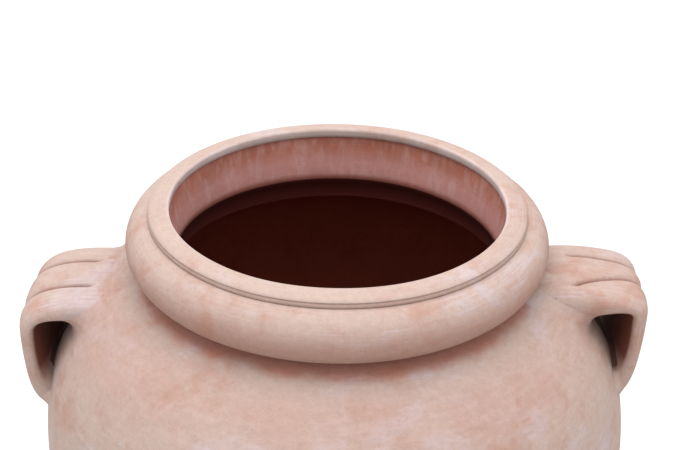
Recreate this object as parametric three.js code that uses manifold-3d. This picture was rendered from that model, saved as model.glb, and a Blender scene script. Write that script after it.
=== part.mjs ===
// A two-handled terracotta oil jar, in millimetres, +Z up, standing on z = 0 with its axis on Z.
//
// A potter builds such a jar from separate pieces of soft clay: a base slab, a wall raised in
// courses, a neck collar, a thick roll wrapped round the collar, a lip laid on both, and two
// ribbed strap handles, each end of which is bedded in a fillet of luting clay. Every one of
// those pieces is a mesh of its own here. Pieces that touch keep a gap of JOINT_GAP.
import * as THREE from "three";
import { mergeVertices } from "three/addons/utils/BufferGeometryUtils.js";
import Module from "manifold-3d";

const wasm = await Module();
wasm.setup();

// ---- driving dimensions -------------------------------------------------------------------
const HEIGHT = 860; // foot to the top of the lip
const BELLY_RADIUS = 361; // outside, at the widest
const BELLY_HEIGHT = 545;
const FOOT_RADIUS = 165;
const MOUTH_RADIUS = 200; // clear opening inside the lip
const WALL = 22;
const FLOOR = 24; // thickness of the base slab
const FOOT_EDGE = 7; // softened arris round the underside

const COLLAR_WALL = 19.3; // collar's outer face, measured out from the mouth radius
const COLLAR_THROAT = 3.5; // the throat is this much tighter than the mouth
const COLLAR_RECESS = 3.8; // the collar's top is set back this much behind the lip
const THROAT_DROP = 58; // lip top down to the throat
const ROLL_SECTION_RADIUS = 33.5;
const ROLL_SHADOW = 2.3; // space between the roll and the top of the shoulder
const LIP_THICKNESS = 12.35;
const LIP_WIDTH = 25.3;

const STRAP_WIDTH = 142;
const STRAP_THICKNESS = 26;
const STRAP_RIBS = 3;
const RIB_RISE = 5; // how far each rib stands above its grooves
const ARM_CLEARANCE = 21.35; // from the roll down to the upper face of the left handle
const HANDLE_REACH = 24; // outermost face of the strap beyond the belly
const HANDLE_LENGTH = 148; // from the arm down to the lower end of the strap's middle line
const RIGHT_RISE = 18; // the right handle was set this much higher than the left
const ELBOW_RADIUS = 32;
const LUTE_SPREAD = 13; // the fillet's spread on the wall
const LUTE_EDGE = 2.5; // its thickness where it ends on the strap
const LUTE_LENGTH = 22; // how far it climbs along the strap

const COURSE_TOPS = [0.231, 0.424, 0.617, 0.784, 0.906]; // joints, as shares of the wall's height
const JOINT_GAP = 0.3;
const TURNS = 48; // facets round the jar

// ---- outline of the wall ------------------------------------------------------------------
const ROLL_HEIGHT = HEIGHT - LIP_THICKNESS - JOINT_GAP - ROLL_SECTION_RADIUS; // of its middle
const UNDER_ROLL = ROLL_HEIGHT - ROLL_SECTION_RADIUS;
const NECK_RADIUS = MOUTH_RADIUS + COLLAR_WALL - 3.3; // outside, where the shoulder meets the collar
const SHOULDER_TOP = new THREE.Vector2(NECK_RADIUS, UNDER_ROLL - ROLL_SHADOW);
const SHOULDER_RISE = SHOULDER_TOP.y - BELLY_HEIGHT;
const SHOULDER_SPAN = BELLY_RADIUS - SHOULDER_TOP.x;

const lowerWall = new THREE.CubicBezierCurve(
  new THREE.Vector2(FOOT_RADIUS, 0),
  new THREE.Vector2(FOOT_RADIUS + 0.37 * (BELLY_RADIUS - FOOT_RADIUS), 0.3 * BELLY_HEIGHT),
  new THREE.Vector2(BELLY_RADIUS, 0.6 * BELLY_HEIGHT),
  new THREE.Vector2(BELLY_RADIUS, BELLY_HEIGHT),
);
const upperWall = new THREE.CubicBezierCurve(
  new THREE.Vector2(BELLY_RADIUS, BELLY_HEIGHT),
  new THREE.Vector2(BELLY_RADIUS, BELLY_HEIGHT + 0.58 * SHOULDER_RISE),
  new THREE.Vector2(SHOULDER_TOP.x + 0.62 * SHOULDER_SPAN, SHOULDER_TOP.y - 0.14 * SHOULDER_RISE),
  SHOULDER_TOP,
);

// The wall's outside point, its outward normal and its upward tangent at a height.
function wallAt(height) {
  const curve = height < BELLY_HEIGHT ? lowerWall : upperWall;
  let low = 0;
  let high = 1;
  for (let i = 0; i < 40; i++) {
    const middle = (low + high) / 2;
    if (curve.getPoint(middle).y < height) low = middle;
    else high = middle;
  }
  const tangent = curve.getTangent((low + high) / 2);
  const normal = new THREE.Vector2(tangent.y, -tangent.x);
  return { point: curve.getPoint((low + high) / 2), tangent, normal };
}

const radiusAt = (height) => wallAt(height).point.x;
const inward = (place, depth) => place.point.clone().addScaledVector(place.normal, -depth);

// Outline points of the wall between two heights, at a depth below the outer face. `trim` draws
// each end back along the wall, which leaves the gap at the joints.
function wallPoints(from, to, depth, steps, trim) {
  const points = [];
  for (let i = 0; i <= steps; i++) {
    const place = wallAt(THREE.MathUtils.lerp(from, to, i / steps));
    const point = inward(place, depth);
    if (i === 0) point.addScaledVector(place.tangent, trim);
    if (i === steps) point.addScaledVector(place.tangent, -trim);
    points.push(point);
  }
  return points;
}

// ---- solids -------------------------------------------------------------------------------
const clay = (name, color, roughness = 0.92) =>
  new THREE.MeshStandardMaterial({ name, color, roughness, metalness: 0 });
const PALE_CLAY = clay("pale_clay", 0xd8bfb2);
const RED_CLAY = clay("red_clay", 0xa4705e);
const LUTING_CLAY = clay("luting_clay", 0xdccabf);

const jar = new THREE.Group();
jar.name = "terracotta_jar";

function add(name, geometry, material, parent = jar) {
  const mesh = new THREE.Mesh(geometry, material);
  mesh.name = name;
  parent.add(mesh);
  return mesh;
}

// A closed outline of (radius, height) points, turned about Z. The outline runs up the outside
// and down the inside.
function turned(outline) {
  const closed = [...outline, outline[0]];
  return new THREE.LatheGeometry(closed, TURNS).rotateX(Math.PI / 2);
}

function toSolid(geometry) {
  const plain = geometry.clone().deleteAttribute("normal").deleteAttribute("uv");
  const merged = mergeVertices(plain, 1e-4);
  return new wasm.Manifold(
    new wasm.Mesh({
      numProp: 3,
      vertProperties: merged.attributes.position.array,
      triVerts: new Uint32Array(merged.index.array),
    }),
  );
}

function toGeometry(solid) {
  const mesh = solid.getMesh();
  return new THREE.BufferGeometry()
    .setAttribute("position", new THREE.BufferAttribute(new Float32Array(mesh.vertProperties), 3))
    .setIndex(new THREE.BufferAttribute(new Uint32Array(mesh.triVerts), 1));
}

// ---- base slab ----------------------------------------------------------------------------
function baseSlab() {
  const edge = new THREE.Vector2(radiusAt(FLOOR), FLOOR);
  const outline = [
    new THREE.Vector2(0, 0),
    new THREE.Vector2(FOOT_RADIUS - FOOT_EDGE, 0),
    new THREE.Vector2(FOOT_RADIUS - 0.3 * FOOT_EDGE, 0.3 * FOOT_EDGE),
    new THREE.Vector2(radiusAt(FOOT_EDGE), FOOT_EDGE),
    edge,
    new THREE.Vector2(0, FLOOR),
  ];
  return new THREE.LatheGeometry(outline, TURNS).rotateX(Math.PI / 2);
}
add("base_slab", baseSlab(), PALE_CLAY);

// ---- wall courses -------------------------------------------------------------------------
// The first course stands on the slab, so its foot is cut level; every other joint is square to
// the wall.
function wallCourse(from, to, isFirst) {
  const steps = 5;
  const trim = JOINT_GAP / 2;
  const outside = wallPoints(from, to, 0, steps, trim);
  const inside = wallPoints(from, to, WALL, steps, trim);
  if (isFirst) {
    outside[0].set(radiusAt(from + JOINT_GAP), from + JOINT_GAP);
    const lean = wallAt(from).normal.x;
    inside[0].set(outside[0].x - WALL / lean, outside[0].y);
    inside[1].y = Math.max(inside[1].y, inside[0].y + FOOT_EDGE);
  }
  return turned([...outside, ...inside.reverse()]);
}

const COURSE_NAMES = ["foot_course", "lower_course", "belly_course", "upper_belly_course"];
COURSE_NAMES.push("shoulder_course", "neck_course");
const joints = [FLOOR, ...COURSE_TOPS.map((share) => share * SHOULDER_TOP.y), SHOULDER_TOP.y];
COURSE_NAMES.forEach((name, i) => {
  add(name, wallCourse(joints[i], joints[i + 1], i === 0), PALE_CLAY);
});

// ---- neck collar --------------------------------------------------------------------------
const COLLAR_OUTER = MOUTH_RADIUS + COLLAR_WALL;
const LIP_SEAT = HEIGHT - LIP_THICKNESS;

function neckCollar() {
  const end = wallAt(SHOULDER_TOP.y);
  const outerFoot = end.point.clone().addScaledVector(end.tangent, JOINT_GAP / 2);
  const innerFoot = inward(end, WALL).addScaledVector(end.tangent, JOINT_GAP / 2);
  const throat = MOUTH_RADIUS - COLLAR_THROAT;
  return turned([
    outerFoot,
    new THREE.Vector2(COLLAR_OUTER - JOINT_GAP / 2, outerFoot.y + 2),
    new THREE.Vector2(COLLAR_OUTER - JOINT_GAP / 2, LIP_SEAT - JOINT_GAP),
    new THREE.Vector2(MOUTH_RADIUS + COLLAR_RECESS, LIP_SEAT - JOINT_GAP),
    new THREE.Vector2(throat, HEIGHT - THROAT_DROP),
    new THREE.Vector2(throat + 1, HEIGHT - THROAT_DROP - 8),
    new THREE.Vector2(throat + 5, HEIGHT - THROAT_DROP - 17),
    innerFoot,
  ]);
}
add("neck_collar", neckCollar(), RED_CLAY);

// ---- rim roll -----------------------------------------------------------------------------
// A D-section coil, flat side against the collar.
function rimRoll() {
  const facets = 12;
  const outline = [];
  for (let i = 0; i <= facets; i++) {
    const angle = Math.PI * (i / facets - 0.5);
    const radius = COLLAR_OUTER + JOINT_GAP / 2 + ROLL_SECTION_RADIUS * Math.cos(angle);
    outline.push(new THREE.Vector2(radius, ROLL_HEIGHT + ROLL_SECTION_RADIUS * Math.sin(angle)));
  }
  return turned(outline);
}
add("rim_roll", rimRoll(), PALE_CLAY);

// ---- lip ----------------------------------------------------------------------------------
// A flat ring with a domed top, laid on the collar and the roll. Its outer edge steps in under
// the dome, and its inner edge is rounded over.
function lipRing() {
  const domeRise = 8;
  const nose = new THREE.Vector2(MOUTH_RADIUS + LIP_WIDTH, HEIGHT - domeRise);
  const edgeRadius = 4.4;
  const dome = new THREE.QuadraticBezierCurve(
    nose,
    new THREE.Vector2(MOUTH_RADIUS + 0.72 * LIP_WIDTH, HEIGHT),
    new THREE.Vector2(MOUTH_RADIUS + 2 * edgeRadius, HEIGHT),
  );
  const edge = [0.25, 0.5, 0.75, 1].map((share) => {
    const angle = (share * Math.PI) / 2;
    const radius = MOUTH_RADIUS + edgeRadius * (1 - Math.sin(angle));
    return new THREE.Vector2(radius, HEIGHT - edgeRadius * (1 - Math.cos(angle)));
  });
  return turned([
    new THREE.Vector2(nose.x, LIP_SEAT),
    new THREE.Vector2(nose.x - 1, nose.y - 1.2),
    ...dome.getPoints(4),
    ...edge,
    new THREE.Vector2(MOUTH_RADIUS + 0.7, LIP_SEAT + 1.6),
    new THREE.Vector2(MOUTH_RADIUS + COLLAR_RECESS, LIP_SEAT),
  ]);
}
add("lip_ring", lipRing(), PALE_CLAY);

// ---- handles ------------------------------------------------------------------------------
// The middle line of the strap, in the XZ plane: a level arm out of the shoulder, an elbow, and
// a long drop that leans back into the belly.
function strapPath(arm) {
  const elbow = BELLY_RADIUS + HANDLE_REACH - STRAP_THICKNESS / 2;
  const foot = arm - HANDLE_LENGTH;
  const embed = STRAP_THICKNESS / 2 + LUTE_SPREAD;
  const footX = radiusAt(foot) - embed;
  const dropTop = arm - 1.2 * ELBOW_RADIUS;
  const at = (x, z) => new THREE.Vector3(x, 0, z);
  return new THREE.CatmullRomCurve3(
    [
      at(radiusAt(arm) - embed, arm + 1),
      at(elbow - 1.3 * ELBOW_RADIUS, arm),
      at(elbow - 0.33 * ELBOW_RADIUS, arm - 0.32 * ELBOW_RADIUS),
      at(elbow, dropTop),
      at(THREE.MathUtils.lerp(elbow, footX, 0.1), THREE.MathUtils.lerp(dropTop, foot, 0.5)),
      at(THREE.MathUtils.lerp(elbow, footX, 0.45), THREE.MathUtils.lerp(dropTop, foot, 0.8)),
      at(footX, foot),
    ],
    false,
    "centripetal",
  );
}

// One ring of points round the strap at a place on the path. `side` is across the strap (Y) and
// `out` is away from the jar. `grow` swells the section evenly.
function strapRing(path, share, section) {
  const centre = path.getPointAt(share);
  const along = path.getTangentAt(share);
  const out = new THREE.Vector3(0, 1, 0).cross(along).negate();
  return section.map(([side, height]) =>
    centre.clone().add(new THREE.Vector3(0, side, 0)).addScaledVector(out, height),
  );
}

// The ribbed section: rounded edges, a flat underside, and ribs with V grooves between them.
function ribbedSection(grow) {
  const half = STRAP_WIDTH / 2 + grow;
  const under = -STRAP_THICKNESS / 2 - grow;
  const valley = STRAP_THICKNESS / 2 - RIB_RISE + grow;
  const ribWidth = (2 * half) / STRAP_RIBS;
  const facets = 5;
  const points = [
    [-half + 5, under],
    [half - 5, under],
    [half - 1, under + 4],
  ];
  for (let rib = STRAP_RIBS - 1; rib >= 0; rib--) {
    for (let i = facets; i >= (rib === 0 ? 0 : 1); i--) {
      const bulge = Math.sin((Math.PI * i) / facets) ** 0.6;
      points.push([-half + ribWidth * (rib + i / facets), valley + RIB_RISE * bulge]);
    }
  }
  points.push([-half + 1, under + 4]);
  return points;
}

// A plain rounded section for the luting clay, which covers the ribs.
function plainSection(grow) {
  const half = STRAP_WIDTH / 2 + grow;
  const rise = STRAP_THICKNESS / 2 + grow;
  const corner = 0.55 * rise;
  return [
    [-half + corner, -rise],
    [half - corner, -rise],
    [half, -rise + corner],
    [half, rise - corner],
    [half - corner, rise],
    [-half + corner, rise],
    [-half, rise - corner],
    [-half, -rise + corner],
  ];
}

// A closed solid through rings that all have the same number of points.
function loft(rings) {
  const count = rings[0].length;
  const vertices = rings.flat().flatMap((point) => point.toArray());
  const index = [];
  for (let r = 0; r + 1 < rings.length; r++) {
    for (let i = 0; i < count; i++) {
      const a = r * count + i;
      const b = r * count + ((i + 1) % count);
      index.push(a, b, a + count, b, b + count, a + count);
    }
  }
  const last = (rings.length - 1) * count;
  const flat = sectionFaces(rings[0]);
  for (const [a, b, c] of flat) {
    index.push(a, c, b);
    index.push(last + a, last + b, last + c);
  }
  return new THREE.BufferGeometry()
    .setAttribute("position", new THREE.BufferAttribute(new Float32Array(vertices), 3))
    .setIndex(index);
}

// Triangles that close a ring, worked out in the ring's own plane.
function sectionFaces(ring) {
  const origin = ring[0];
  const side = new THREE.Vector3(0, 1, 0);
  const far = ring[Math.floor(ring.length / 2)].clone().sub(origin);
  const out = far.addScaledVector(side, -far.dot(side)).normalize();
  const outline = ring.map((point) => {
    const offset = point.clone().sub(origin);
    return new THREE.Vector2(offset.dot(side), offset.dot(out));
  });
  return THREE.ShapeUtils.triangulateShape(outline, []);
}

function facingOut(geometry) {
  const solid = toSolid(geometry);
  if (solid.volume() > 0) return solid;
  const index = geometry.index.array;
  for (let i = 0; i < index.length; i += 3) [index[i + 1], index[i + 2]] = [index[i + 2], index[i + 1]];
  return toSolid(geometry);
}

function strapSolid(path, grow) {
  const steps = 22;
  const section = ribbedSection(grow);
  const rings = [];
  for (let i = 0; i <= steps; i++) rings.push(strapRing(path, i / steps, section));
  return facingOut(loft(rings));
}

// Everything inside the jar's outer face, swollen by the joint gap. It has the courses' own
// facets, so that a piece cut by it keeps the same gap all round.
function wallCutter() {
  const outline = [new THREE.Vector2(0, 0)];
  COURSE_NAMES.forEach((name, i) => {
    const points = wallPoints(joints[i], joints[i + 1], -JOINT_GAP, 5, 0);
    if (i > 0) points.shift();
    outline.push(...points);
  });
  // Beside the collar the cutter leaves the wall and goes straight up, clear of the collar's foot.
  const clearOfCollar = COLLAR_OUTER + JOINT_GAP;
  const top = outline.pop();
  const below = outline[outline.length - 1];
  outline.push(below.clone().lerp(top, (below.x - clearOfCollar) / (below.x - top.x)));
  const clearOfRoll = COLLAR_OUTER + 2 * ROLL_SECTION_RADIUS;
  outline.push(new THREE.Vector2(clearOfCollar, UNDER_ROLL - JOINT_GAP));
  outline.push(new THREE.Vector2(clearOfRoll, UNDER_ROLL - JOINT_GAP));
  outline.push(new THREE.Vector2(clearOfRoll, HEIGHT));
  outline.push(new THREE.Vector2(0, HEIGHT));
  const geometry = new THREE.LatheGeometry(outline, TURNS).rotateX(Math.PI / 2);
  return facingOut(geometry.toNonIndexed().setIndex([...Array(geometry.index.count).keys()]));
}

// Where along the path, from 0 to 1, the strap's middle line crosses the wall's outer face,
// looked for between a place inside the wall and one outside it.
function crossing(path, inWall, inAir) {
  let inside = inWall;
  let outside = inAir;
  for (let i = 0; i < 30; i++) {
    const middle = (inside + outside) / 2;
    const point = path.getPointAt(middle);
    if (point.x > radiusAt(Math.min(point.z, SHOULDER_TOP.y))) outside = middle;
    else inside = middle;
  }
  return (inside + outside) / 2;
}

// Luting clay round one end of the strap. It starts inside the wall, just short of the strap's
// own end, and thins as it climbs along the strap.
function luteSolid(path, atTop) {
  const length = path.getLength();
  const wallShare = crossing(path, atTop ? 0 : 1, 0.5);
  const way = atTop ? 1 : -1;
  const start = (atTop ? 0 : 1) + (way * 2) / length;
  const end = wallShare + (way * LUTE_LENGTH) / length;
  const steps = 6;
  const rings = [];
  for (let i = 0; i <= steps; i++) {
    const share = THREE.MathUtils.lerp(start, end, i / steps);
    const climbed = Math.max(0, (way * (share - wallShare) * length) / LUTE_LENGTH);
    const spread = (1 - Math.min(1, climbed)) ** 1.6;
    rings.push(strapRing(path, share, plainSection(LUTE_EDGE + (LUTE_SPREAD - LUTE_EDGE) * spread)));
  }
  return facingOut(loft(rings));
}

const wall = wallCutter();
[
  ["left", Math.PI, 0],
  ["right", 0, RIGHT_RISE],
].forEach(([side, turn, rise]) => {
  const path = strapPath(UNDER_ROLL - ARM_CLEARANCE - STRAP_THICKNESS / 2 + rise);
  const strapRoom = strapSolid(path, JOINT_GAP);
  const strap = strapSolid(path, 0).subtract(wall);
  const topLute = luteSolid(path, true).subtract(strapRoom).subtract(wall);
  const footLute = luteSolid(path, false).subtract(strapRoom).subtract(wall);
  const handle = new THREE.Group();
  handle.rotation.z = turn;
  jar.add(handle);
  add(side + "_handle", toGeometry(strap), PALE_CLAY, handle);
  add(side + "_handle_top_luting", toGeometry(topLute), LUTING_CLAY, handle);
  add(side + "_handle_foot_luting", toGeometry(footLute), LUTING_CLAY, handle);
});

export default jar;
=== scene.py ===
import math

import bpy
import numpy as np
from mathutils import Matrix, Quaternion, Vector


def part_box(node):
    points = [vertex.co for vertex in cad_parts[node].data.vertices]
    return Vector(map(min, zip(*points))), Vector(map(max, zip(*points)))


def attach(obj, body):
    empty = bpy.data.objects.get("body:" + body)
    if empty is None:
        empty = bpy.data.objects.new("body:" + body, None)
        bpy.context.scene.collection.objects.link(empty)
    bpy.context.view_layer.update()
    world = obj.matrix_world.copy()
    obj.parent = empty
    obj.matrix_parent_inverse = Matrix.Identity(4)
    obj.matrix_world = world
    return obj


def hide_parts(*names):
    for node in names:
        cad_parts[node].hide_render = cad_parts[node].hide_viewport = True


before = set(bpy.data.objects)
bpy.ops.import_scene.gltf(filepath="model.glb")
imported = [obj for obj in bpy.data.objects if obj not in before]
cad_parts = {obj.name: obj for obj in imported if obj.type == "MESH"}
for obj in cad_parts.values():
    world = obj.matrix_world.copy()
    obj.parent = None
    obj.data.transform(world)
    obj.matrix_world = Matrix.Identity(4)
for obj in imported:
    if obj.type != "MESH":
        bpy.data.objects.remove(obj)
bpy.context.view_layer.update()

# ---- base slab ----------------------------------------------------------------------------
# The base is a disc of coarse clay, beaten flat on a board. The first course of the wall is
# luted on its rim. Its softened lower edge shows outside, and its top is the floor of the jar.

MM = 0.001
lip_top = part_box("lip_ring")[1].z
foot_radius = 165 * MM
foot_edge = 7 * MM
slab_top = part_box("base_slab")[1].z
belly_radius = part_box("upper_belly_course")[1].x
belly_height = lip_top - 315 * MM
shoulder_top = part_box("neck_course")[1].z
neck_radius = 216 * MM
wall_thickness = 22 * MM
rounds = 360


def cubic(ends, share):
    """Points of a cubic Bezier curve, one row for each share of the way along it."""
    p0, p1, p2, p3 = (np.array(p) for p in ends)
    t = np.asarray(share)[:, None]
    s = 1 - t
    return s**3 * p0 + 3 * s**2 * t * p1 + 3 * s * t**2 * p2 + t**3 * p3


def outline_table():
    """The jar's outer face, as its radii and the heights they are at."""
    rise = shoulder_top - belly_height
    span = belly_radius - neck_radius
    share = np.linspace(0, 1, 400)
    lower = cubic(
        [
            (foot_radius, 0),
            (foot_radius + 0.37 * (belly_radius - foot_radius), 0.3 * belly_height),
            (belly_radius, 0.6 * belly_height),
            (belly_radius, belly_height),
        ],
        share,
    )
    upper = cubic(
        [
            (belly_radius, belly_height),
            (belly_radius, belly_height + 0.60 * rise),
            (neck_radius + 0.62 * span, shoulder_top - 0.14 * rise),
            (neck_radius, shoulder_top),
        ],
        share,
    )
    points = np.vstack([lower, upper[1:]])
    return points[:, 0], points[:, 1]


outline_radius, outline_height = outline_table()


def unevenness(height, angle, amount, seed, waves=7):
    """How far a hand has left a round face from true: a few slow waves round and up the jar."""
    dice = np.random.default_rng(seed)
    total = np.zeros(np.broadcast(height, angle).shape)
    for _ in range(waves):
        turns = dice.integers(1, 9)
        pitch = dice.uniform(4, 22)
        phase = dice.uniform(0, 2 * math.pi)
        total = total + dice.normal() * np.sin(turns * angle + pitch * height + phase)
    return amount * total / math.sqrt(waves)


def wall_waver(height, angle):
    """How far the wall is out of true."""
    return unevenness(height, angle, 0.7 * MM, seed=11)


def wall_lean(height):
    """The outward normal of the wall in the plane of its outline, as (radial, upward)."""
    step = 1 * MM
    low = np.interp(height - step, outline_height, outline_radius)
    high = np.interp(height + step, outline_height, outline_radius)
    run = np.stack([np.full_like(low, 2 * step), low - high], axis=-1)
    return run / np.linalg.norm(run, axis=-1, keepdims=True)


def finished(name, points, faces, sharp_above=38):
    """A smooth-shaded mesh object at the origin, with its faces turned outwards."""
    mesh = bpy.data.meshes.new(name)
    mesh.from_pydata(np.asarray(points).tolist(), [], faces)
    mesh.validate()
    mesh.shade_smooth()
    mesh.set_sharp_from_angle(angle=math.radians(sharp_above))
    piece = bpy.data.objects.new(name, mesh)
    bpy.context.scene.collection.objects.link(piece)
    return piece


def grid_faces(rows, columns, closed_rows=True):
    """Quads of a grid that wraps round in its columns, and in its rows too if they close."""
    faces = []
    for row in range(rows if closed_rows else rows - 1):
        above = (row + 1) % rows
        for column in range(columns):
            beside = (column + 1) % columns
            corners = (row * columns + column, row * columns + beside)
            faces.append((*corners, above * columns + beside, above * columns + column))
    return faces


def turned(name, outline, waver=wall_waver, poles=False, sharp_above=38):
    """A piece turned from an outline of (radius, height) that goes up its outside. The outline
    closes on itself, or with poles its first and last points lie on the axis.
    waver(height, angle) is added to the radius."""
    outline = np.asarray(outline, float)
    rings = outline[1:-1] if poles else outline
    angle = np.linspace(0, 2 * math.pi, rounds, endpoint=False)[None, :]
    height = np.repeat(rings[:, 1:2], rounds, axis=1)
    radius = rings[:, 0:1] + waver(height, angle)
    points = np.stack([radius * np.cos(angle), radius * np.sin(angle), height], axis=-1)
    points = points.reshape(-1, 3).tolist()
    faces = grid_faces(len(rings), rounds, closed_rows=not poles)
    if poles:
        below = len(points)
        points += [[0, 0, outline[0][1]], [0, 0, outline[-1][1]]]
        top = (len(rings) - 1) * rounds
        for i in range(rounds):
            beside = (i + 1) % rounds
            faces += [(below, beside, i), (below + 1, top + i, top + beside)]
    return finished(name, points, faces, sharp_above)


def number(tree, operation, *values):
    """A Math node. Each value is a number or a socket."""
    node = tree.nodes.new("ShaderNodeMath")
    node.operation = operation
    for socket, value in zip(node.inputs, values):
        if isinstance(value, bpy.types.NodeSocket):
            tree.links.new(value, socket)
        else:
            socket.default_value = value
    return node.outputs[0]


def combined(tree, x, y, z):
    """A vector of three numbers or sockets."""
    node = tree.nodes.new("ShaderNodeCombineXYZ")
    for socket, value in zip(node.inputs, (x, y, z)):
        if isinstance(value, bpy.types.NodeSocket):
            tree.links.new(value, socket)
        else:
            socket.default_value = value
    return node.outputs[0]


def linear(red, green, blue):
    """A colour given in everyday 0 to 255 steps, as Blender's linear light."""
    steps = [c / 255 for c in (red, green, blue)]
    return (*[c / 12.92 if c <= 0.04045 else ((c + 0.055) / 1.055) ** 2.4 for c in steps], 1)


def smooth_share(tree, value, low, high):
    """0 below low, 1 above high, with a soft rise between; high may be the smaller."""
    node = tree.nodes.new("ShaderNodeMapRange")
    node.interpolation_type = "SMOOTHSTEP"
    tree.links.new(value, node.inputs["Value"])
    node.inputs["From Min"].default_value = low
    node.inputs["From Max"].default_value = high
    return node.outputs["Result"]


def blended(tree, share, first, second):
    """Mixes two colours, each a colour or a socket, by a share that is a number or a socket."""
    node = tree.nodes.new("ShaderNodeMix")
    node.data_type = "RGBA"
    for socket, value in zip((node.inputs[0], node.inputs[6], node.inputs[7]), (share, first, second)):
        if isinstance(value, bpy.types.NodeSocket):
            tree.links.new(value, socket)
        else:
            socket.default_value = value
    return node.outputs[2]


def cloud(tree, vector, scale, detail=3.0, roughness=0.55, distortion=0.0, turn=None):
    """Noise, from about 0.3 to 0.7. With turn it is four-dimensional noise."""
    node = tree.nodes.new("ShaderNodeTexNoise")
    node.noise_dimensions = "3D" if turn is None else "4D"
    tree.links.new(vector, node.inputs["Vector"])
    if turn is not None:
        tree.links.new(turn, node.inputs["W"])
    node.inputs["Scale"].default_value = scale
    node.inputs["Detail"].default_value = detail
    node.inputs["Roughness"].default_value = roughness
    node.inputs["Distortion"].default_value = distortion
    return node.outputs["Fac"]


class Place:
    """Where a point of the jar is: sockets for its coordinates, radius and direction."""

    def __init__(self, tree):
        self.tree = tree
        self.vector = tree.nodes.new("ShaderNodeTexCoord").outputs["Object"]
        parts = tree.nodes.new("ShaderNodeSeparateXYZ")
        tree.links.new(self.vector, parts.inputs[0])
        self.x, self.y, self.z = parts.outputs
        squares = [number(tree, "MULTIPLY", c, c) for c in (self.x, self.y)]
        self.radius = number(tree, "SQRT", number(tree, "ADD", *squares))
        safe = number(tree, "MAXIMUM", self.radius, 1 * MM)
        self.cosine = number(tree, "DIVIDE", self.x, safe)
        self.sine = number(tree, "DIVIDE", self.y, safe)

    def streaks(self, across, around, detail=2.0, scale=1.0):
        """Noise that closes on itself round the jar. across is how busy it is up the wall, and
        around is how busy it is round it, so the larger one runs across the streaks."""
        tree = self.tree
        up = number(tree, "MULTIPLY", self.z, across)
        out = number(tree, "MULTIPLY", self.radius, across)
        vector = combined(tree, out, up, number(tree, "MULTIPLY", self.cosine, around))
        return cloud(tree, vector, scale, detail, turn=number(tree, "MULTIPLY", self.sine, around))


def scaled(tree, value, low, high):
    """Turns noise or a share from 0 to 1 into a number from low to high."""
    return number(tree, "MULTIPLY_ADD", value, high - low, low)


CREAM = linear(168, 147, 138)
SALMON = linear(160, 127, 114)
ORANGE = linear(156, 110, 90)
BLOOM = linear(173, 158, 159)


def strap_streaks(tree, along, across):
    """Noise drawn out along a handle's strap."""
    node = tree.nodes.new("ShaderNodeAttribute")
    node.attribute_name = "strap_place"
    parts = tree.nodes.new("ShaderNodeSeparateXYZ")
    tree.links.new(node.outputs["Vector"], parts.inputs[0])
    scales = (along, across, across)
    stretched = [number(tree, "MULTIPLY", c, k) for c, k in zip(parts.outputs, scales)]
    return cloud(tree, combined(tree, *stretched), 1.0, 3)


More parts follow.
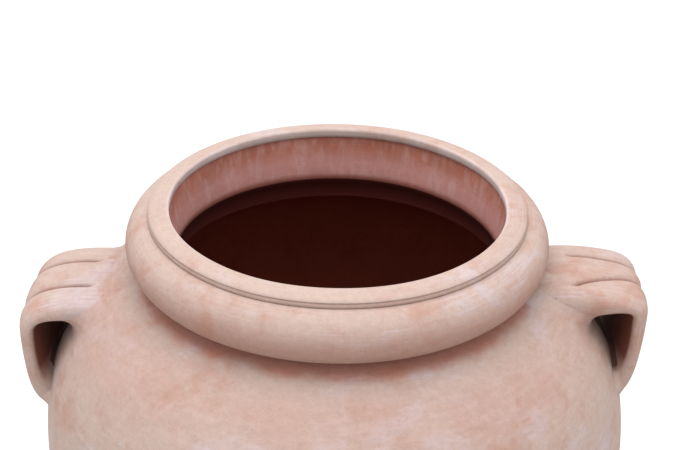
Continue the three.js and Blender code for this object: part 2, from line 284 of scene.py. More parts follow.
def clay(name, streaks, bloom, warmth, extra):
    """Unglazed fired clay: cream to salmon, with orange flushes, a whitish lime bloom, the drag
    lines of a wet brush, pits and specks. streaks is how busy they are up the jar and round it,
    or None where they follow a strap. extra(tree, place, colour) returns a changed colour."""
    material = bpy.data.materials.new(name)
    material.use_nodes = True
    tree = material.node_tree
    shader = tree.nodes["Principled BSDF"]
    place = Place(tree)
    broad = cloud(tree, place.vector, 3.1, 3, 0.6, 0.4)
    patches = cloud(tree, place.vector, 9.5, 4, 0.6, 0.6)
    mottle = cloud(tree, place.vector, 34, 5, 0.62, 0.3)
    grain = cloud(tree, place.vector, 420, 3, 0.7)
    if streaks is None:
        coarse = strap_streaks(tree, 14, 60)
        fine = strap_streaks(tree, 22, 380)
    else:
        coarse = place.streaks(streaks[0] * 0.3, streaks[1] * 0.3, 3)
        fine = place.streaks(*streaks, 3)
    # How far each spot leans from cream to salmon.
    lean = number(tree, "ADD", scaled(tree, broad, -0.5, 0.5), scaled(tree, patches, -0.35, 0.35))
    lean = number(tree, "ADD", lean, scaled(tree, coarse, -0.28, 0.28))
    lean = number(tree, "ADD", lean, scaled(tree, mottle, -0.45, 0.45))
    warm = smooth_share(tree, lean, 0.1 - 0.4 * warmth, 0.6 - 0.4 * warmth)
    colour = blended(tree, scaled(tree, warm, 0.0, 0.8), CREAM, SALMON)
    flush = number(tree, "ADD", scaled(tree, patches, 0, 1), scaled(tree, mottle, -0.25, 0.25))
    flush = smooth_share(tree, flush, 0.56 - 0.08 * warmth, 0.78 - 0.08 * warmth)
    colour = blended(tree, scaled(tree, flush, 0, 0.3), colour, ORANGE)
    # The bloom lies where the wet brush left lime.
    lime = cloud(tree, place.vector, 6.3, 5, 0.62, 1.2)
    lime = number(tree, "ADD", lime, scaled(tree, fine, -0.12, 0.12))
    lime = number(tree, "ADD", lime, scaled(tree, coarse, -0.14, 0.14))
    lime = smooth_share(tree, lime, 0.60 - 0.16 * bloom, 0.78 - 0.16 * bloom)
    colour = blended(tree, scaled(tree, lime, 0, 0.8), colour, BLOOM)
    # Drag lines and grain darken and lighten it a little.
    shade = number(tree, "ADD", scaled(tree, fine, 0.92, 1.08), scaled(tree, grain, -0.14, 0.14))
    chalk = cloud(tree, place.vector, 130, 3, 0.6, 0.5)
    shade = number(tree, "ADD", shade, scaled(tree, chalk, -0.13, 0.13))
    speck = cloud(tree, place.vector, 210, 1, 0.5)
    speck = smooth_share(tree, speck, 0.735, 0.78)
    shade = number(tree, "SUBTRACT", shade, number(tree, "MULTIPLY", speck, 0.16))
    colour = extra(tree, place, colour)
    vector_scale = tree.nodes.new("ShaderNodeVectorMath")
    vector_scale.operation = "SCALE"
    tree.links.new(colour, vector_scale.inputs[0])
    tree.links.new(shade, vector_scale.inputs["Scale"])
    tree.links.new(vector_scale.outputs[0], shader.inputs["Base Color"])
    tree.links.new(scaled(tree, lime, 0.84, 0.95), shader.inputs["Roughness"])
    shader.inputs["Specular IOR Level"].default_value = 0.25
    # Relief: drag lines, grain, and pits where specks are.
    relief = number(tree, "ADD", scaled(tree, fine, 0, 0.5), scaled(tree, grain, 0, 0.25))
    relief = number(tree, "ADD", relief, scaled(tree, mottle, 0, 0.8))
    relief = number(tree, "SUBTRACT", relief, speck)
    bump = tree.nodes.new("ShaderNodeBump")
    bump.inputs["Strength"].default_value = 0.35
    bump.inputs["Distance"].default_value = 1.2 * MM
    tree.links.new(relief, bump.inputs["Height"])
    tree.links.new(bump.outputs["Normal"], shader.inputs["Normal"])
    return material


def placed(piece, slot, *nodes):
    """The piece belongs to the jar, which is one rigid body, and stands for these CAD nodes."""
    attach(piece, "root")
    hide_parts(*nodes)


def arc(centre, radius, start, end, steps):
    """Outline points on an arc, its angles in degrees from the radial direction."""
    angles = np.radians(np.linspace(start, end, steps))
    return [(centre[0] + radius * math.cos(a), centre[1] + radius * math.sin(a)) for a in angles]


handle_rise = 20 * MM  # the right handle stands this much above the left


def painted_handle_shade(tree, place, colour, front, low, high, inner):
    """Painted shade: a dark red-brown on the wall behind a handle, where its shadow falls. front is how far
    forwards it comes, low and high bound it, and it starts at the inner radius."""
    behind = smooth_share(tree, place.y, front - 6 * MM, front + 6 * MM)
    behind = number(tree, "MULTIPLY", behind, smooth_share(tree, place.y, 66 * MM, 54 * MM))
    left_side = smooth_share(tree, place.x, -290 * MM, -300 * MM)
    rise = number(tree, "MULTIPLY_ADD", left_side, handle_rise, place.z)
    band = number(tree, "MULTIPLY", behind, smooth_share(tree, rise, low - 8 * MM, low + 8 * MM))
    band = number(tree, "MULTIPLY", band, smooth_share(tree, rise, high + 4 * MM, high - 4 * MM))
    out = smooth_share(tree, number(tree, "ABSOLUTE", place.x), inner - 5 * MM, inner + 5 * MM)
    band = number(tree, "MULTIPLY", band, out)
    return blended(tree, scaled(tree, band, 0, 0.92), colour, linear(66, 30, 18))


def shoulder_tint(tree, place, colour):
    """Warmer and darker in cloudy patches in a band round the upper shoulder, fading out towards the roll
    and down the belly.
    """
    high = smooth_share(tree, place.z, lip_top - 195 * MM, lip_top - 125 * MM)
    below_roll = smooth_share(tree, place.z, lip_top - 90 * MM, lip_top - 114 * MM)
    high = number(tree, "MULTIPLY", high, below_roll)
    patch = smooth_share(tree, cloud(tree, place.vector, 5, 3), 0.25, 0.75)
    high = number(tree, "MULTIPLY", high, scaled(tree, patch, 0.1, 0.5))
    return blended(tree, high, colour, linear(156, 120, 106))


def wall_tints(tree, place, colour):
    """Redder where the roll kept the brush and the lime off the top of the shoulder, and darker
    there with painted shade from the roll above; painted shade on the wall behind the handles."""
    span = (lip_top - 236 * MM, lip_top - 112 * MM)
    colour = painted_handle_shade(tree, place, colour, -16 * MM, *span, 290 * MM)
    colour = shoulder_tint(tree, place, colour)
    # A redder band just under the roll: partly clay the lime missed, partly painted shade of the roll
    # above.
    ragged = scaled(tree, cloud(tree, place.vector, 26, 4), -7 * MM, 7 * MM)
    near = number(tree, "ADD", place.z, ragged)
    under_roll = smooth_share(tree, near, shoulder_top - 15 * MM, shoulder_top - 6 * MM)
    return blended(tree, scaled(tree, under_roll, 0, 0.65), colour, linear(158, 88, 64))


def dark_inside(tree, place, colour):
    """The unbrushed inside, burnt a deep red brown in the kiln."""
    return blended(tree, cloud(tree, place.vector, 12, 4), linear(118, 52, 36), linear(142, 70, 52))


slab_side = np.linspace(foot_edge, slab_top, 6)
slab_outline = [(0, 0), (foot_radius * 0.5, 0), (foot_radius - foot_edge, 0)]
slab_outline += arc((foot_radius - foot_edge, foot_edge), foot_edge, -80, -10, 6)
slab_outline += [(float(np.interp(h, outline_height, outline_radius)), h) for h in slab_side]
slab_outline += [(foot_radius * 0.5, slab_top), (0, slab_top)]
wall_clay = clay("fired_clay_wall", (150, 9), bloom=0.75, warmth=0.45, extra=wall_tints)
inside_clay = clay("fired_clay_inside", (400, 5), bloom=0.2, warmth=0.9, extra=dark_inside)
base = turned("base_slab_clay", slab_outline, poles=True)
base.data.materials.append(wall_clay)
base.data.materials.append(inside_clay)
for face in base.data.polygons:
    face.material_index = int(face.center.z > slab_top - 0.5 * MM)
placed(base, "terracotta", "base_slab")

# ---- wall courses -------------------------------------------------------------------------
# The wall is raised in six rings of clay, each left to stiffen before the next is beaten on.
# The joints are smoothed over with a wet brush, so the outside reads as one skin. The inside
# stays dark and unbrushed.

course_joints = [slab_top] + [h * MM for h in (180, 330, 480, 610, 705)] + [shoulder_top]
course_names = ["foot_course", "lower_course", "belly_course", "upper_belly_course"]
course_names += ["shoulder_course", "neck_course"]


def course_outline(low, high, outside_rows=26, inside_rows=12):
    """Up the outer face and down the inner one, with both ends square to the wall."""
    heights = np.linspace(low, high, outside_rows)
    outside = np.stack([np.interp(heights, outline_height, outline_radius), heights], axis=-1)
    heights = np.linspace(high, low, inside_rows)
    inside = np.stack([np.interp(heights, outline_height, outline_radius), heights], axis=-1)
    inside -= wall_lean(heights) * wall_thickness
    inside[:, 1] = np.maximum(inside[:, 1], slab_top)
    return outside, inside


for course, low, high in zip(course_names, course_joints, course_joints[1:]):
    outside, inside = course_outline(low, high)
    piece = turned(course + "_clay", np.vstack([outside, inside]))
    piece.data.materials.append(wall_clay)
    piece.data.materials.append(inside_clay)
    for index, face in enumerate(piece.data.polygons):
        face.material_index = int(index // rounds >= len(outside) - 1)
    placed(piece, "terracotta", course)

# ---- neck collar --------------------------------------------------------------------------
# A short upright ring of clay on the shoulder. It carries the rim, and its inner face is the
# red-brown throat of the jar, wiped up and down with a limy rag.

collar_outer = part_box("neck_collar")[1].x
collar_drops = [(203.6, 12.6), (203.0, 20), (201.2, 34), (198.9, 47), (197.2, 57), (196.2, 66)]
collar_drops += [(196.4, 71), (198.2, 75.5), (201, 80), (204, 88)]
collar_inside = [(r * MM, lip_top - drop * MM) for r, drop in collar_drops]


def throat_tints(tree, place, colour):
    """Red clay with whitish smears down the throat. Painted shade darkens its lower edge where it turns
    away, and below that a near-black painted shade stands for the shadowed inside of the jar."""
    red = blended(tree, cloud(tree, place.vector, 22, 4), linear(150, 88, 70), linear(172, 112, 96))
    smears = place.streaks(34, 22, 4)
    smears = number(tree, "MULTIPLY", smears, scaled(tree, cloud(tree, place.vector, 13, 3), 0.7, 1.5))
    smears = smooth_share(tree, smears, 0.46, 0.82)
    red = blended(tree, scaled(tree, smears, 0, 0.45), red, linear(186, 150, 146))
    pale_foot = smooth_share(tree, place.z, lip_top - 24 * MM, lip_top - 50 * MM)
    red = blended(tree, scaled(tree, pale_foot, 0, 0.4), red, linear(186, 148, 148))
    # Painted shade on the lower edge as it turns away from the light.
    low_edge = smooth_share(tree, place.z, lip_top - 61 * MM, lip_top - 69 * MM)
    red = blended(tree, scaled(tree, low_edge, 0, 0.75), red, linear(122, 62, 48))
    # Near-black painted shade below the edge, where the jar's inside lies in shadow.
    below = smooth_share(tree, place.z, lip_top - 69 * MM, lip_top - 72 * MM)
    return blended(tree, below, red, linear(62, 14, 6))


throat_clay = clay("fired_clay_throat", (260, 4), bloom=0.3, warmth=0.8, extra=throat_tints)
joint_outside, joint_inside = course_outline(shoulder_top - 1 * MM, shoulder_top, 2, 2)
collar_outline = [tuple(joint_outside[-1]), (collar_outer, shoulder_top + 2 * MM)]
collar_outline += [(collar_outer, lip_top - 12.7 * MM)] + collar_inside + [tuple(joint_inside[0])]
collar = turned("neck_collar_clay", collar_outline)
collar.data.materials.append(throat_clay)
placed(collar, "terracotta_inside", "neck_collar")

# ---- rim roll -----------------------------------------------------------------------------
# A thick coil wrapped round the collar and pressed flat against it, then run round under a wet
# cloth, which leaves fine rings along it. It stiffens the mouth and gives hands a hold.

roll_low, roll_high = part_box("rim_roll")
roll_section = (roll_high.z - roll_low.z) / 2
roll_height = (roll_high.z + roll_low.z) / 2
roll_facets = 96


def group_input(tree, name, value):
    """A named size of a node tree, and the identifier that a modifier sets it by."""
    socket = tree.interface.new_socket(name, in_out="INPUT", socket_type="NodeSocketFloat")
    socket.default_value = value
    return socket.identifier


def rolled_rim_tree():
    """A D-shaped coil: a grid bent round the jar one way and round its own section the other."""
    tree = bpy.data.node_groups.new("rolled_rim", "GeometryNodeTree")
    tree.interface.new_socket("Geometry", in_out="OUTPUT", socket_type="NodeSocketGeometry")
    names = ("Collar radius", "Section radius", "Middle height", "Unevenness")
    keys = [group_input(tree, name, 0.1) for name in names]
    sizes = tree.nodes.new("NodeGroupInput").outputs
    grid = tree.nodes.new("GeometryNodeMeshGrid")
    grid.inputs["Size X"].default_value = 1
    grid.inputs["Size Y"].default_value = 1
    grid.inputs["Vertices X"].default_value = 2 * rounds + 1
    grid.inputs["Vertices Y"].default_value = roll_facets + 1
    spot = tree.nodes.new("GeometryNodeInputPosition")
    flat = tree.nodes.new("ShaderNodeSeparateXYZ")
    tree.links.new(spot.outputs[0], flat.inputs[0])
    turn = number(tree, "MULTIPLY_ADD", flat.outputs[0], 2 * math.pi, math.pi)
    section_turn = number(tree, "MULTIPLY_ADD", flat.outputs[1], 2 * math.pi, math.pi)
    waver = cloud(tree, combined(tree, number(tree, "COSINE", turn), number(tree, "SINE", turn), 0), 2.2, 2)
    waver = number(tree, "MULTIPLY", number(tree, "SUBTRACT", waver, 0.5), sizes[3])
    section = number(tree, "ADD", sizes[1], waver)
    bulge = number(tree, "MAXIMUM", number(tree, "COSINE", section_turn), 0)
    radius = number(tree, "MULTIPLY_ADD", bulge, section, sizes[0])
    height = number(tree, "MULTIPLY_ADD", number(tree, "SINE", section_turn), sizes[1], sizes[2])
    x = number(tree, "MULTIPLY", radius, number(tree, "COSINE", turn))
    y = number(tree, "MULTIPLY", radius, number(tree, "SINE", turn))
    bend = tree.nodes.new("GeometryNodeSetPosition")
    tree.links.new(grid.outputs["Mesh"], bend.inputs["Geometry"])
    tree.links.new(combined(tree, x, y, height), bend.inputs["Position"])
    weld = tree.nodes.new("GeometryNodeMergeByDistance")
    weld.inputs["Distance"].default_value = 0.02 * MM
    tree.links.new(bend.outputs[0], weld.inputs[0])
    return tree, keys, weld.outputs[0]


def finish_tree(tree, geometry, material):
    """Closes a node tree: smooth shading, real instances, the material and the output."""
    smooth = tree.nodes.new("GeometryNodeSetShadeSmooth")
    real = tree.nodes.new("GeometryNodeRealizeInstances")
    paint = tree.nodes.new("GeometryNodeSetMaterial")
    paint.inputs["Material"].default_value = material
    out = tree.nodes.new("NodeGroupOutput")
    tree.links.new(geometry, smooth.inputs[0])
    tree.links.new(smooth.outputs[0], real.inputs[0])
    tree.links.new(real.outputs[0], paint.inputs[0])
    tree.links.new(paint.outputs[0], out.inputs[0])


def grown(name, tree, values):
    """Runs a node tree with these inputs and keeps its result as a plain mesh object."""
    host = bpy.data.objects.new(name + "_host", bpy.data.meshes.new(name + "_seed"))
    bpy.context.scene.collection.objects.link(host)
    modifier = host.modifiers.new("tree", "NODES")
    modifier.node_group = tree
    for key, value in values.items():
        modifier[key] = value
    depsgraph = bpy.context.evaluated_depsgraph_get()
    mesh = bpy.data.meshes.new_from_object(host.evaluated_get(depsgraph), depsgraph=depsgraph)
    host.modifiers.remove(modifier)
    bpy.data.objects.remove(host)
    mesh.name = name
    piece = bpy.data.objects.new(name, mesh)
    bpy.context.scene.collection.objects.link(piece)
    return piece


def rim_tints(tree, place, colour):
    """Painted shade: darker towards the underside of the roll's turn, away from the light above."""
    low = smooth_share(tree, place.z, lip_top - 18 * MM, lip_top - 58 * MM)
    return blended(tree, scaled(tree, low, 0, 0.6), colour, linear(148, 106, 90))


rim_clay = clay("fired_clay_rim", (700, 5), bloom=0.45, warmth=0.75, extra=rim_tints)
rim_tree, rim_keys, rim_geometry = rolled_rim_tree()
finish_tree(rim_tree, rim_geometry, rim_clay)
rim_sizes = (collar_outer + 0.3 * MM, roll_section, roll_height, 1.2 * MM)
roll = grown("rim_roll_clay", rim_tree, dict(zip(rim_keys, rim_sizes)))
placed(roll, "terracotta_rim", "rim_roll")

# ---- lip ----------------------------------------------------------------------------------
# A flat band of fine clay laid on the collar and the roll, domed on top and rounded into the
# mouth. A ribbing tool has cut a thin line and left a bead along its outer edge.

lip_drops = [(217.5, 12.9), (224.2, 13.1), (225.3, 12.2), (225.6, 10.8), (225.3, 9.3), (224.6, 8.3)]
lip_drops += [(224.0, 7.7), (224.1, 7.2), (224.6, 6.7), (224.8, 5.9), (224.3, 4.9), (222.6, 3.7)]
lip_drops += [(219.4, 2.3), (215.6, 1.15), (211.6, 0.35), (207.6, 0.0), (204.6, 0.0)]
lip_outline = [(r * MM, lip_top - drop * MM) for r, drop in lip_drops]
lip_outline += arc((204.4 * MM, lip_top - 4.4 * MM), 4.4 * MM, 105, 180, 7)
lip_outline += [(200.1 * MM, lip_top - 8 * MM), (200.4 * MM, lip_top - 10.6 * MM)]
lip_outline += [(201.3 * MM, lip_top - 12.1 * MM), (203.4 * MM, lip_top - 12.7 * MM)]


def lip_waver(height, angle):
    """How far the lip is out of true."""
    return unevenness(height, angle, 0.35 * MM, seed=5)


def lip_tints(tree, place, colour):
    """Painted shade in the cut line along the outer edge, and a paler grey-lilac in patches down the inner
    face.
    """
    # Painted shade in the cut line under the bead.
    outer = smooth_share(tree, place.radius, 219.5 * MM, 222.5 * MM)
    line = smooth_share(tree, place.z, lip_top - 5.5 * MM, lip_top - 7.5 * MM)
    line = number(tree, "MULTIPLY", outer, line)
    colour = blended(tree, scaled(tree, line, 0, 0.4), colour, linear(150, 118, 105))
    inner = smooth_share(tree, place.radius, 204 * MM, 200.6 * MM)
    patchy = smooth_share(tree, cloud(tree, place.vector, 7, 4), 0.36, 0.62)
    inner = number(tree, "MULTIPLY", inner, scaled(tree, patchy, 0.15, 0.7))
    return blended(tree, inner, colour, linear(204, 188, 188))


lip_clay = clay("fired_clay_lip", (600, 5), bloom=0.3, warmth=0.45, extra=lip_tints)
lip = turned("lip_ring_clay", lip_outline, lip_waver)
lip.data.materials.append(lip_clay)
placed(lip, "terracotta_rim", "lip_ring")

# ---- strap handles ------------------------------------------------------------------------
# Each handle is a strap of clay pulled between wet fingers, which draw three ribs along it. It
# leaves the shoulder level, turns down over an elbow and leans back into the belly. They were
# set by eye, so the right one sits higher than the left and its ribs wander more.

strap_steps = 160
strap_facets = 300
# Each middle line is in the plane of the jar's axis, in millimetres as (radius, drop from the
# lip): out along the arm, then down the drop. Crown and belly are the strap's thickness outside
# and inside that line at five places along it. Each groove's place across the strap is given
# near the wall and at the elbow.
left_strap = {
    "arm": [(240, 119), (301, 127), (364, 112), (365.5, 151)],
    "drop": [(365.5, 151), (367, 176), (366, 251), (340, 242)],
    "half_width": 72,
    "crown": [19, 21, 18, 14, 12],
    "belly": [26, 19, 8, 12, 24],
    "grooves": [(-31, -27), (25, 30)],
    "smooth": (46, 40),
    "shift": 2,
    "tilt": 0.03,
    "twist": -0.055,
    "shelter": -3,
    "seed": 21,
}
right_strap = {
    "arm": [(216, 107), (300, 107), (359, 92), (359, 121)],
    "drop": [(359, 121), (359, 148), (358, 230), (332, 223)],
    "half_width": 67,
    "crown": [25, 27, 17, 13, 12],
    "belly": [30, 26, 10, 12, 24],
    "grooves": [(-50, -8), (23, 25)],
    "smooth": (60, 40),
    "shift": -1,
    "tilt": -0.01,
    "twist": -0.02,
    "shelter": -3,
    "seed": 22,
}


def strap_line(strap):
    """The middle line, resampled evenly, as arrays of points, outward normals and lengths."""
    share = np.linspace(0, 1, 200)
    rows = np.vstack([cubic(strap["arm"], share), cubic(strap["drop"], share)[1:]]) * MM
    rows[:, 1] = lip_top - rows[:, 1]
    steps = np.linalg.norm(np.diff(rows, axis=0), axis=1)
    length = np.concatenate([[0], np.cumsum(steps)])
    even = np.linspace(0, length[-1], strap_steps)
    line = np.stack([np.interp(even, length, rows[:, i]) for i in (0, 1)], axis=-1)
    along = np.gradient(line, axis=0)
    for _ in range(4):
        along[1:-1] = (along[:-2] + along[1:-1] + along[2:]) / 3
    along /= np.linalg.norm(along, axis=1, keepdims=True)
    outward = np.stack([-along[:, 1], along[:, 0]], axis=-1)
    return line, outward, even


def strap_surface(strap):
    """Points of the strap, indexed by step along it and facet round it, with each point's
    length along it, side, height above the middle line, and depth in a groove from 0 to 1."""
    line, outward, length = strap_line(strap)
    share = length / length[-1]
    turn = np.linspace(0, 2 * math.pi, strap_facets, endpoint=False) - math.pi / 2
    side = np.sign(np.cos(turn)) * np.abs(np.cos(turn)) ** 0.6 * strap["half_width"] * MM
    swell = np.sign(np.sin(turn)) * np.abs(np.sin(turn)) ** 0.82
    crown = np.interp(share, [0, 0.3, 0.5, 0.75, 1], np.array(strap["crown"]) * MM)
    belly = np.interp(share, [0, 0.3, 0.5, 0.75, 1], np.array(strap["belly"]) * MM)
    for _ in range(60):
        crown[1:-1] = (crown[:-2] + crown[1:-1] + crown[2:]) / 3
        belly[1:-1] = (belly[:-2] + belly[1:-1] + belly[2:]) / 3
    # The back half of each strap is thicker on its inner side.
    belly = belly[:, None] * (1 + 0.6 * np.clip(side / (strap["half_width"] * MM), 0, 1))
    out = swell * np.where(swell > 0, crown[:, None], belly)
    ends = np.minimum(length - strap["smooth"][0] * MM, length[-1] - length - strap["smooth"][1] * MM)
    ribbed = np.clip(ends / (12 * MM), 0, 1)[:, None] ** 0.8
    side = np.broadcast_to(side, out.shape)
    cut = np.zeros(out.shape)
    hollow = np.zeros(out.shape)
    for near_wall, at_elbow in strap["grooves"]:
        groove = np.interp(share, [0.2, 0.55], [near_wall * MM, at_elbow * MM])[:, None]
        cut += np.exp(-((np.abs(side - groove) / (3.0 * MM)) ** 1.2))
        hollow += np.exp(-((np.abs(side - groove) / (11 * MM)) ** 2))
    cut = ribbed * np.where(swell > 0, cut, 0)
    hollow = ribbed * np.where(swell > 0, hollow, 0)
    dice = np.random.default_rng(strap["seed"])
    drift = sum(
        dice.normal(0, 0.4 * MM) * np.sin(dice.uniform(10, 45) * length + dice.uniform(0, 6))
        for _ in range(5)
    )
    lift = out - cut * 5.5 * MM - hollow * 2.4 * MM + drift[:, None]
    sideways = side + strap["shift"] * MM + drift[:, None]
    x = line[:, 0:1] + outward[:, 0:1] * lift + strap["twist"] * sideways
    z = line[:, 1:2] + outward[:, 1:2] * lift + strap["tilt"] * sideways
    return np.stack([x, sideways, z], axis=-1), length, np.stack([side, lift, cut], axis=-1)


def capped_tube_faces(steps, facets):
    """Quads along a tube of rings, and a flat face over each end."""
    faces = grid_faces(steps, facets, closed_rows=False)
    faces.append(tuple(reversed(range(facets))))
    faces.append(tuple((steps - 1) * facets + i for i in range(facets)))
    return faces


def mirrored(points, faces, on_left):
    """Moves a piece from the right side to the left one, with its faces still turned out."""
    if not on_left:
        return points, faces
    return points * np.array([-1, 1, 1]), [tuple(reversed(face)) for face in faces]


def strap_place(piece, name, values):
    """Keeps a vector at each point: where it lies on the strap, or its groove depth and painted shade."""
    attribute = piece.data.attributes.new(name, "FLOAT_VECTOR", "POINT")
    attribute.data.foreach_set("vector", np.asarray(values, np.float32).ravel())


def strap_tints(tree, place, colour):
    """Darker in the grooves, and painted shade, a dark red-brown, on the strap's sheltered inner face."""
    node = tree.nodes.new("ShaderNodeAttribute")
    node.attribute_name = "strap_groove_and_shade"
    parts = tree.nodes.new("ShaderNodeSeparateXYZ")
    tree.links.new(node.outputs["Vector"], parts.inputs[0])
    cut = smooth_share(tree, parts.outputs[0], 0.15, 0.85)
    colour = blended(tree, scaled(tree, cut, 0, 0.75), colour, linear(118, 78, 64))
    return blended(tree, scaled(tree, parts.outputs[1], 0, 0.92), colour, linear(92, 40, 22))


handle_clay = clay("fired_clay_handle", None, bloom=0.5, warmth=0.6, extra=strap_tints)
sides = [("left", left_strap, True), ("right", right_strap, False)]
for side_name, strap, on_left in sides:
    surface, length, touch = strap_surface(strap)
    faces = capped_tube_faces(strap_steps, strap_facets)
    points, faces = mirrored(surface.reshape(-1, 3), faces, on_left)
    piece = finished(side_name + "_handle_clay", points, faces, 60)
    along = np.repeat(length[:, None, None], strap_facets, axis=1)
    strap_place(piece, "strap_place", np.concatenate([along, touch[..., :2]], axis=-1))
    # Painted shade on the strap's inner face, facing the dark gap, fading out near the foot.
    under = np.clip((strap["shelter"] - touch[..., 1] / MM) / 4, 0, 1)
    under = under * np.clip((strap["half_width"] - 3 - np.abs(touch[..., 0]) / MM) / 5, 0, 1)
    foot_fade = np.clip((length[-1] - length) / (30 * MM) - 0.9, 0, 1)
    under = under * foot_fade[:, None]
    strap_place(piece, "strap_groove_and_shade", np.stack([touch[..., 2], under, under], axis=-1))
    piece.data.materials.append(handle_clay)
    placed(piece, "terracotta_handle", side_name + "_handle")

# ---- luting -------------------------------------------------------------------------------
# Soft clay pressed into the corner all round each end of a strap and wiped smooth with a
# finger, so that the strap seems to grow out of the wall.

luting_steps = 18
luting_root = 5 * MM
# How far it goes along the strap and on the wall, on the strap's outer face and inner one.
top_spread = ((20 * MM, 22 * MM), (38 * MM, 30 * MM))
foot_spread = ((9 * MM, 6 * MM), (14 * MM, 6 * MM))


def beyond_wall(points):
    """How far points stand outside the wall."""
    radius = np.hypot(points[..., 0], points[..., 1])
    angle = np.arctan2(points[..., 1], points[..., 0])
    return radius - np.interp(points[..., 2], outline_height, outline_radius) - wall_waver(
        points[..., 2], angle
    )


def on_wall(points):
    """The same points, moved straight in or out to the wall's face."""
    radius = np.hypot(points[..., 0], points[..., 1])
    shrink = (radius - beyond_wall(points)) / radius
    return points * np.stack([shrink, shrink, np.ones_like(shrink)], axis=-1)


def outward_at(points):
    """The wall's outward normals beside these points."""
    lean = wall_lean(points[..., 2])
    angle = np.arctan2(points[..., 1], points[..., 0])
    flat = lean[..., 0]
    return np.stack([flat * np.cos(angle), flat * np.sin(angle), lean[..., 1]], axis=-1)


def unit(rows):
    """The same vectors with a length of 1."""
    return rows / np.linalg.norm(rows, axis=-1, keepdims=True)


def along_column(run, column, place):
    """The point at a place along a column of points, whose own places are run."""
    return np.array([np.interp(place, run, column[:, k]) for k in range(3)])


def luting_points(surface, length, at_top, spread):
    """Rings of points round a strap's end. Each facet gets a curve that leaves along the strap
    and lands along the wall, then returns underneath, inside both."""
    path = surface[:, ::2] if at_top else surface[::-1, ::2]
    turn = np.linspace(0, 2 * math.pi, path.shape[1], endpoint=False) - math.pi / 2
    outer = (0.5 + 0.5 * np.sin(turn))[:, None]
    spreads = outer * np.array(spread[0]) + (1 - outer) * np.array(spread[1])
    run = length if at_top else length[-1] - length[::-1]
    clear = beyond_wall(path)
    middles = path.mean(axis=1)
    starts, leads, corners, cores = [], [], [], []
    for i in range(path.shape[1]):
        first = np.nonzero(clear[:, i] > 0)[0][0]
        share = -clear[first - 1, i] / (clear[first, i] - clear[first - 1, i])
        corner_run = run[first - 1] + share * (run[first] - run[first - 1])
        start_run = corner_run + spreads[i, 0]
        corners.append(along_column(run, path[:, i], corner_run))
        starts.append(along_column(run, path[:, i], start_run))
        leads.append(along_column(run, path[:, i], start_run - 0.5 * spreads[i, 0]))
        cores.append(along_column(run, middles, start_run))
    starts, leads, corners, cores = (np.array(rows) for rows in (starts, leads, corners, cores))
    corners = on_wall(corners)
    normals = outward_at(corners)
    ring_way = np.roll(corners, -3, axis=0) - np.roll(corners, 3, axis=0)
    square = unit(np.cross(ring_way, normals))
    away = corners - corners.mean(axis=0)
    square *= np.sign((square * away).sum(axis=1, keepdims=True))
    for _ in range(6):
        square = unit(np.roll(square, 1, axis=0) + square + np.roll(square, -1, axis=0))
    ends = on_wall(corners + square * spreads[:, 1:])
    landing = on_wall(corners + square * 0.4 * spreads[:, 1:])
    sunk = 0.4 * MM
    inwards = unit(cores - starts)
    share = np.linspace(0, 1, luting_steps)[:, None, None]
    low_starts = starts + inwards * sunk
    low_ends = ends - outward_at(ends) * sunk
    raised_leads = leads - inwards * 0.8 * MM
    raised_landing = landing + outward_at(landing) * 0.8 * MM
    skin = (1 - share) ** 3 * low_starts + 3 * (1 - share) ** 2 * share * raised_leads
    skin = skin + 3 * (1 - share) * share**2 * raised_landing + share**3 * low_ends
    wall_root = ends - outward_at(ends) * luting_root - square * luting_root
    corner_root = corners - normals * luting_root - square * luting_root
    strap_root = starts + inwards * luting_root
    return np.concatenate([skin, wall_root[None], corner_root[None], strap_root[None]])


def luting_tints(tree, place, colour):
    """Warm like the shoulder, and painted shade like the wall behind the handle where it faces the gap."""
    colour = shoulder_tint(tree, place, colour)
    span = (lip_top - 226 * MM, lip_top - 120 * MM)
    return painted_handle_shade(tree, place, colour, -58 * MM, *span, 331 * MM)


luting_clay = clay("luting_clay", (150, 9), bloom=0.75, warmth=0.45, extra=luting_tints)
for side_name, strap, on_left in sides:
    surface, length, _ = strap_surface(strap)
    for end_name, at_top, spread in (("top", True, top_spread), ("foot", False, foot_spread)):
        rings = luting_points(surface, length, at_top, spread)
        faces = grid_faces(len(rings), rings.shape[1])
        if at_top:
            faces = [tuple(reversed(face)) for face in faces]
        points, faces = mirrored(rings.reshape(-1, 3), faces, on_left)
        name = f"{side_name}_handle_{end_name}_luting"
        bead = finished(name + "_clay", points, faces, 60)
        bead.data.materials.append(luting_clay)
        placed(bead, "luting_clay", name)

# ---- studio -------------------------------------------------------------------------------
# A pale floor, a white room and one broad soft light above the jar. The camera stands in front
# of the jar and looks down into its mouth.

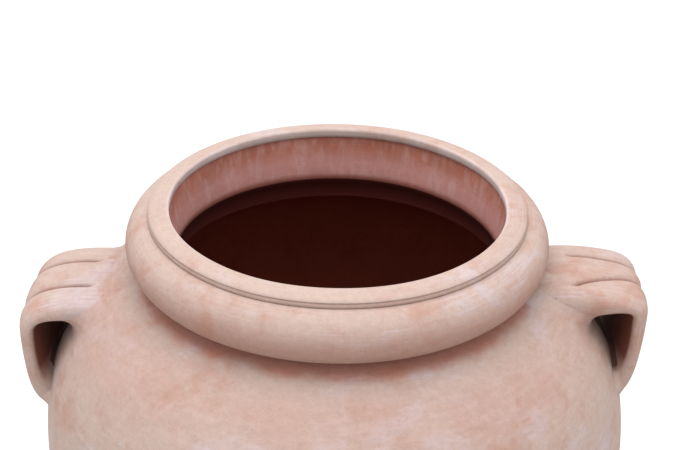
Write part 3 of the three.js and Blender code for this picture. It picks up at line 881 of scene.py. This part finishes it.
floor_half = 9.0
floor_mesh = bpy.data.meshes.new("floor")
floor_corners = [(-floor_half, -floor_half, 0), (floor_half, -floor_half, 0)]
floor_corners += [(floor_half, floor_half, 0), (-floor_half, floor_half, 0)]
floor_mesh.from_pydata(floor_corners, [], [(0, 1, 2, 3)])
floor = bpy.data.objects.new("floor", floor_mesh)
bpy.context.scene.collection.objects.link(floor)
paper = bpy.data.materials.new("studio_paper")
paper.use_nodes = True
paper.node_tree.nodes["Principled BSDF"].inputs["Base Color"].default_value = (0.74, 0.74, 0.74, 1)
paper.node_tree.nodes["Principled BSDF"].inputs["Roughness"].default_value = 0.9
floor_mesh.materials.append(paper)

world = bpy.data.worlds.new("studio")
bpy.context.scene.world = world
world.use_nodes = True
world.node_tree.nodes["Background"].inputs["Color"].default_value = (1.0, 1.0, 1.0, 1)
world.node_tree.nodes["Background"].inputs["Strength"].default_value = 1.15


def soft_light(name, place, target, size, power):
    """An oblong area light that faces a target."""
    light = bpy.data.lights.new(name, "AREA")
    light.shape = "RECTANGLE"
    light.size, light.size_y = size
    light.energy = power
    lamp = bpy.data.objects.new(name, light)
    bpy.context.scene.collection.objects.link(lamp)
    lamp.location = place
    aim = np.array(target) - np.array(place)
    pitch = math.atan2(math.hypot(aim[0], aim[1]), -aim[2])
    lamp.rotation_euler = (pitch, 0, math.atan2(aim[1], aim[0]) - math.pi / 2)


jar_middle = (0, 0, belly_height)
soft_light("overhead", (-0.2, -0.2, 3.6), jar_middle, (3.2, 2.6), 100)

camera_data = bpy.data.cameras.new("camera")
camera_data.lens = 85
camera_data.sensor_width = 36
camera_data.clip_end = 60
camera = bpy.data.objects.new("camera", camera_data)
bpy.context.scene.collection.objects.link(camera)
camera_distance = 1.676
camera_rise = 0.8814
camera_pitch = 0.4996
camera_roll = 0.0156
camera.location = (0, -camera_distance, lip_top + camera_rise)
tilt = math.pi / 2 - camera_pitch
camera.rotation_mode = "QUATERNION"
camera.rotation_quaternion = Quaternion((1, 0, 0), tilt) @ Quaternion((0, 0, 1), camera_roll)
bpy.context.scene.camera = camera
bpy.context.scene.view_settings.view_transform = "Standard"
